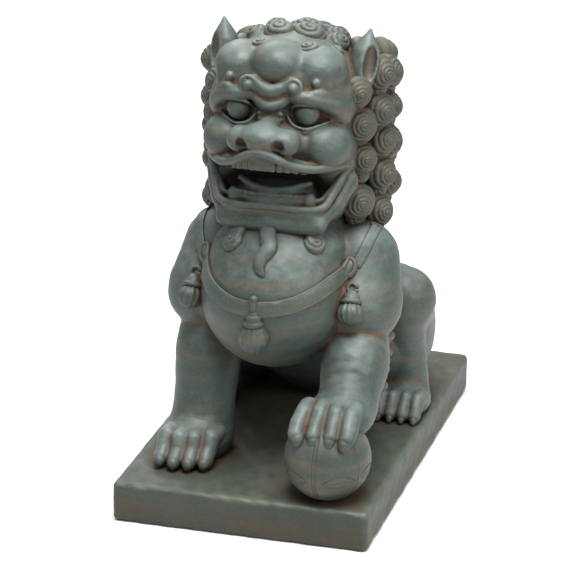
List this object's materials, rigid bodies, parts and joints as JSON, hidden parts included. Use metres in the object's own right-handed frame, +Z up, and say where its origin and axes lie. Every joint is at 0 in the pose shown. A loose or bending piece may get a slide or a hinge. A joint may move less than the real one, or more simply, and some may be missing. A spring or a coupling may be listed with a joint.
{
  "type": "guardian lion statue",
  "caption": "Seated guardian lion on a rectangular plinth, curled mane, open mouth, collar with bells, one forepaw resting on a ball. For a garden, a doorway or a hall.",
  "frame": {"origin": "middle of the plinth's underside", "axes": "+Z up, the lion faces -Y, its own left side (the forepaw on the ball) is +X"},
  "size_m": [0.332, 0.5522, 0.6043],
  "materials": {
    "body_stone": "painted cast stone, dark green-grey with pale worn high spots, satin",
    "plinth_stone": "the same paint, streaked and dusty with worn edges, satin",
    "mane_stone": "the same paint, darker, with brown grime in the ground between curls",
    "mouth_stone": "the same paint, darkest and matt inside the mouth",
    "steel_rod": "plain reinforcing bar, sealed in the casting"
  },
  "bodies": {
    "root": {"ball_dowel": "steel_rod", "beard_lock_left": "body_stone", "beard_lock_middle": "body_stone", "beard_lock_right": "body_stone", "brocade_ball": "body_stone", "brow_left": "body_stone", "brow_right": "body_stone", "chest_band": "body_stone", "chest_pendant": "body_stone", "crown_curls": "mane_stone", "ear_left": "body_stone", "ear_right": "body_stone", "elbow_tufts_left": "mane_stone", "elbow_tufts_right": "mane_stone", "eye_left": "body_stone", "eye_right": "body_stone", "foreclaws_left": "body_stone", "foreclaws_right": "body_stone", "forehead_curls": "mane_stone", "foreleg_left": "body_stone", "foreleg_right": "body_stone", "foreleg_rods": "steel_rod", "forepaw_left": "body_stone", "forepaw_right": "body_stone", "haunch_left": "body_stone", "haunch_right": "body_stone", "hind_claws_left": "body_stone", "hind_claws_right": "body_stone", "hind_leg_left": "body_stone", "hind_leg_right": "body_stone", "hind_paw_left": "body_stone", "hind_paw_right": "body_stone", "lower_jaw": "body_stone", "lower_teeth": "mouth_stone", "mane": "mane_stone", "mane_curls_back": "mane_stone", "mane_curls_left": "mane_stone", "mane_curls_right": "mane_stone", "muzzle": "body_stone", "neck_rod": "steel_rod", "nose": "body_stone", "plinth": "plinth_stone", "shoulder_left": "body_stone", "shoulder_right": "body_stone", "shoulder_strap_left": "body_stone", "shoulder_strap_right": "body_stone", "side_bell_left": "body_stone", "side_bell_right": "body_stone", "skull": "body_stone", "tail": "body_stone", "tail_curls": "mane_stone", "throat": "mouth_stone", "tongue": "mouth_stone", "torso": "body_stone", "upper_lip": "body_stone", "upper_teeth": "mouth_stone"}
  },
  "joints": []
}
